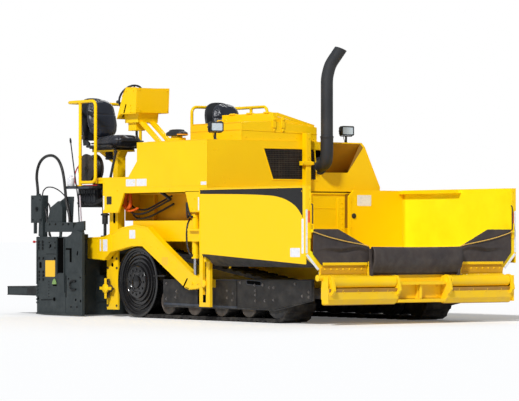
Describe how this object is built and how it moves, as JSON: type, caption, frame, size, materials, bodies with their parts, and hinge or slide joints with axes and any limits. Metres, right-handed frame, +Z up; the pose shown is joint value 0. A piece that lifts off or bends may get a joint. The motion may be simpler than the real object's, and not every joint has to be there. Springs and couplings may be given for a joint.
{
  "type": "asphalt paver",
  "caption": "Tracked asphalt paver with folding hopper wings, push rollers, augers, towed floating screed with sliding extensions, operator platform and exhaust stack.",
  "frame": {"origin": "centre of the overall box on the ground plane", "axes": "+X forward to the hopper, +Y to the left side, +Z up"},
  "size_m": [6.787, 3.2, 3.3586],
  "materials": {
    "yellow_paint": "gloss enamel over plate",
    "charcoal_paint": "satin dark grey paint",
    "screed_paint": "matt green-grey paint",
    "track_rubber": "moulded rubber",
    "flap_rubber": "worn rubber sheet",
    "pipe_black": "matt heatproof paint",
    "seat_vinyl": "grained vinyl",
    "bright_steel": "ground and plated",
    "bare_iron": "dark iron",
    "rope": "braided line",
    "hose_rubber": "hydraulic hose",
    "air_hose_red": "smooth red hose",
    "lamp_black": "moulded housing"
  },
  "bodies": {
    "tractor": {"track_belt_left": "track_rubber", "track_belt_right": "track_rubber", "drive_wheel_left": "track_rubber", "drive_wheel_right": "track_rubber", "track_frame_left": "charcoal_paint", "track_frame_right": "charcoal_paint", "main_frame": "yellow_paint", "engine_block": "bare_iron", "gate_post": "yellow_paint", "centre_flap": "flap_rubber", "roller_beam": "yellow_paint", "hood": "yellow_paint", "grille": "charcoal_paint", "engine_cover": "yellow_paint", "exhaust_pipe": "pipe_black", "operator_platform": "yellow_paint", "rear_shelf": "charcoal_paint", "seat_left": "seat_vinyl", "seat_right": "seat_vinyl", "guard_rail_left": "yellow_paint", "guard_rail_right": "yellow_paint", "console": "yellow_paint", "hose_reel": "bare_iron", "work_lamp_right": "lamp_black", "work_lamp_left": "lamp_black", "tow_guide_left": "yellow_paint", "tow_guide_right": "yellow_paint", "lift_cylinder_left": "charcoal_paint", "lift_cylinder_right": "charcoal_paint", "wing_cylinder_left": "bright_steel", "wing_cylinder_right": "bright_steel", "auger_frame": "yellow_paint", "air_hose": "air_hose_red"},
    "hopper_wing_left_body": {"hopper_wing_left": "yellow_paint", "side_flap_left": "flap_rubber", "hopper_rope_left": "rope"},
    "hopper_wing_right_body": {"hopper_wing_right": "yellow_paint", "side_flap_right": "flap_rubber", "hopper_rope_right": "rope"},
    "push_roller_left_body": {"push_roller_left": "yellow_paint"},
    "push_roller_right_body": {"push_roller_right": "yellow_paint"},
    "auger_left_body": {"auger_left": "bare_iron"},
    "auger_right_body": {"auger_right": "bare_iron"},
    "tow_rods": {"tow_rod_left": "bright_steel", "tow_rod_right": "bright_steel"},
    "screed_body": {"tow_arm_left": "yellow_paint", "tow_arm_right": "yellow_paint", "main_screed": "screed_paint"},
    "extension_left_body": {"screed_extension_left": "screed_paint", "screed_hose_left": "hose_rubber"},
    "extension_right_body": {"screed_extension_right": "screed_paint", "screed_hose_right": "hose_rubber"},
    "end_gate_left_body": {"end_gate_left": "screed_paint"},
    "end_gate_right_body": {"end_gate_right": "screed_paint"},
    "walkway_left_body": {"walkway_left": "screed_paint"},
    "walkway_right_body": {"walkway_right": "screed_paint"},
    "hatch_body": {"engine_hatch": "yellow_paint"},
    "steering_body": {"steering_wheel": "seat_vinyl"}
  },
  "joints": [
    {"name": "hopper_wing_left_tilt", "type": "hinge", "parent": "tractor", "child": "hopper_wing_left_body", "pos_m": [2.1735, 0.66, 0.69], "axis": [1, 0, 0], "range_deg": [0, 45]},
    {"name": "hopper_wing_right_tilt", "type": "hinge", "parent": "tractor", "child": "hopper_wing_right_body", "pos_m": [2.1735, -0.66, 0.69], "axis": [-1, 0, 0], "range_deg": [0, 45]},
    {"name": "push_roller_left_spin", "type": "hinge", "parent": "tractor", "child": "push_roller_left_body", "pos_m": [3.3285, 0.875, 0.5], "axis": [0, 1, 0], "continuous": true},
    {"name": "push_roller_right_spin", "type": "hinge", "parent": "tractor", "child": "push_roller_right_body", "pos_m": [3.3285, -0.875, 0.5], "axis": [0, 1, 0], "continuous": true},
    {"name": "auger_left_spin", "type": "hinge", "parent": "tractor", "child": "auger_left_body", "pos_m": [-1.3465, 0.7, 0.36], "axis": [0, 1, 0], "continuous": true},
    {"name": "auger_right_spin", "type": "hinge", "parent": "tractor", "child": "auger_right_body", "pos_m": [-1.3465, -0.7, 0.36], "axis": [0, 1, 0], "continuous": true},
    {"name": "tow_point_lift", "type": "slide", "parent": "tractor", "child": "tow_rods", "axis": [0, 0, 1], "range_m": [0, 0.15]},
    {"name": "screed_lift", "type": "hinge", "parent": "tow_rods", "child": "screed_body", "pos_m": [0.6335, 0, 0.47], "axis": [0, 1, 0], "range_deg": [0, 5.5]},
    {"name": "extension_left_slide", "type": "slide", "parent": "screed_body", "child": "extension_left_body", "axis": [0, 1, 0], "range_m": [0, 0.75]},
    {"name": "extension_right_slide", "type": "slide", "parent": "screed_body", "child": "extension_right_body", "axis": [0, -1, 0], "range_m": [0, 0.75]},
    {"name": "end_gate_left_lift", "type": "slide", "parent": "extension_left_body", "child": "end_gate_left_body", "axis": [0, 0, 1], "range_m": [0, 0.12]},
    {"name": "end_gate_right_lift", "type": "slide", "parent": "extension_right_body", "child": "end_gate_right_body", "axis": [0, 0, 1], "range_m": [0, 0.12]},
    {"name": "walkway_left_fold", "type": "hinge", "parent": "extension_left_body", "child": "walkway_left_body", "pos_m": [-2.5788, 0.8, 0.36], "axis": [0, 1, 0], "range_deg": [0, 80]},
    {"name": "walkway_right_fold", "type": "hinge", "parent": "extension_right_body", "child": "walkway_right_body", "pos_m": [-2.5788, -0.8, 0.36], "axis": [0, 1, 0], "range_deg": [0, 80]},
    {"name": "engine_hatch_lift", "type": "hinge", "parent": "tractor", "child": "hatch_body", "pos_m": [0.3735, 0.3, 2.3803], "axis": [-1, 0, 0], "range_deg": [0, 70]},
    {"name": "steering_wheel_turn", "type": "hinge", "parent": "tractor", "child": "steering_body", "pos_m": [-1.3265, -0.96, 2.805], "axis": [-0.8674, 0, 0.4976], "range_deg": [-135, 135]}
  ]
}
